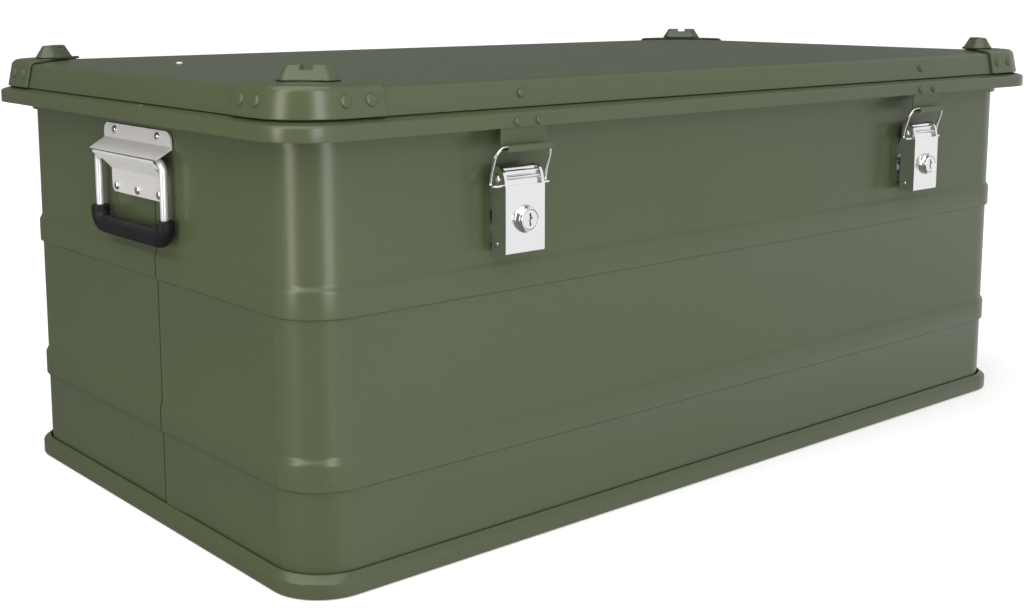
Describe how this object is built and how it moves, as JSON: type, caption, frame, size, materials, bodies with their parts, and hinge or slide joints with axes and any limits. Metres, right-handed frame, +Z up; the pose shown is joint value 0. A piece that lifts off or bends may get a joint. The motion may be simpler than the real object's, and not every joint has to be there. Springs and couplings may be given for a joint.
{
  "type": "footlocker",
  "caption": "Painted aluminium footlocker: a beaded case with a hinged, crowned lid, stacking corner studs, lockable draw latches and drop handles.",
  "frame": {"origin": "centre of the footprint, on the floor", "axes": "+X towards the right end as seen from the front, +Y towards the hinges at the back, +Z up; the latches face -Y"},
  "size_m": [0.901, 0.5166, 0.3666],
  "materials": {
    "paint": "satin olive powder coat on aluminium",
    "bare_aluminium": "satin",
    "steel": "polished",
    "wire": "polished",
    "plate": "satin",
    "bar": "satin",
    "grip": "matte",
    "rubber": "matte"
  },
  "bodies": {
    "case": {"base_rim": "paint", "case_frame": "paint", "case_wall": "paint", "floor_panel": "bare_aluminium", "handle_lower_plate_left": "plate", "handle_lower_plate_right": "plate", "handle_rivet_left_1": "plate", "handle_rivet_left_2": "plate", "handle_rivet_left_3": "plate", "handle_rivet_left_4": "plate", "handle_rivet_left_5": "plate", "handle_rivet_right_1": "plate", "handle_rivet_right_2": "plate", "handle_rivet_right_3": "plate", "handle_rivet_right_4": "plate", "handle_rivet_right_5": "plate", "handle_top_plate_left": "plate", "handle_top_plate_right": "plate", "hinge_case_leaf_left": "paint", "hinge_case_leaf_right": "paint", "hinge_pin_left": "steel", "hinge_pin_right": "steel", "latch_base_left": "steel", "latch_base_right": "steel", "latch_pin_left": "steel", "latch_pin_right": "steel"},
    "lid": {"catch_plate_left": "paint", "catch_plate_right": "paint", "corner_cap_back_left": "paint", "corner_cap_back_right": "paint", "corner_cap_front_left": "paint", "corner_cap_front_right": "paint", "hinge_lid_leaf_left": "paint", "hinge_lid_leaf_right": "paint", "lid_panel": "paint", "lid_rail": "paint", "lid_rivet": "plate", "lid_seal": "rubber", "stacking_stud_back_left": "paint", "stacking_stud_back_right": "paint", "stacking_stud_front_left": "paint", "stacking_stud_front_right": "paint"},
    "lever_left": {"latch_lever_left": "steel", "lock_housing_left": "steel"},
    "bail_left": {"latch_bail_left": "wire"},
    "plug_left": {"lock_plug_left": "wire"},
    "handle_left": {"handle_bar_left": "bar", "handle_grip_left": "grip"},
    "lever_right": {"latch_lever_right": "steel", "lock_housing_right": "steel"},
    "bail_right": {"latch_bail_right": "wire"},
    "plug_right": {"lock_plug_right": "wire"},
    "handle_right": {"handle_bar_right": "bar", "handle_grip_right": "grip"}
  },
  "joints": [
    {"name": "lid_hinge", "type": "hinge", "parent": "case", "child": "lid", "pos_m": [0, 0.2547, 0.316], "axis": [-1, 0, 0], "range_deg": [0, 100]},
    {"name": "lever_left_pivot", "type": "hinge", "parent": "case", "child": "lever_left", "pos_m": [-0.2525, -0.2405, 0.281], "axis": [-1, 0, 0], "range_deg": [0, 100]},
    {"name": "bail_left_pivot", "type": "hinge", "parent": "lever_left", "child": "bail_left", "pos_m": [-0.2525, -0.2482, 0.277], "axis": [-1, 0, 0], "range_deg": [-131.1, 0]},
    {"name": "lock_left_turn", "type": "hinge", "parent": "lever_left", "child": "plug_left", "pos_m": [-0.2525, -0.2515, 0.252], "axis": [0, -1, 0], "range_deg": [0, 90]},
    {"name": "handle_left_swing", "type": "hinge", "parent": "case", "child": "handle_left", "pos_m": [-0.437, 0, 0.289], "axis": [0, 1, 0], "range_deg": [0, 75]},
    {"name": "lever_right_pivot", "type": "hinge", "parent": "case", "child": "lever_right", "pos_m": [0.2525, -0.2405, 0.281], "axis": [-1, 0, 0], "range_deg": [0, 100]},
    {"name": "bail_right_pivot", "type": "hinge", "parent": "lever_right", "child": "bail_right", "pos_m": [0.2525, -0.2482, 0.277], "axis": [-1, 0, 0], "range_deg": [-131.1, 0]},
    {"name": "lock_right_turn", "type": "hinge", "parent": "lever_right", "child": "plug_right", "pos_m": [0.2525, -0.2515, 0.252], "axis": [0, -1, 0], "range_deg": [0, 90]},
    {"name": "handle_right_swing", "type": "hinge", "parent": "case", "child": "handle_right", "pos_m": [0.437, 0, 0.289], "axis": [0, -1, 0], "range_deg": [0, 75]}
  ],
  "couplings": [
    {"joint": "bail_left_pivot", "follows": "lever_left_pivot", "ratio": -1.31},
    {"joint": "bail_right_pivot", "follows": "lever_right_pivot", "ratio": -1.31}
  ]
}
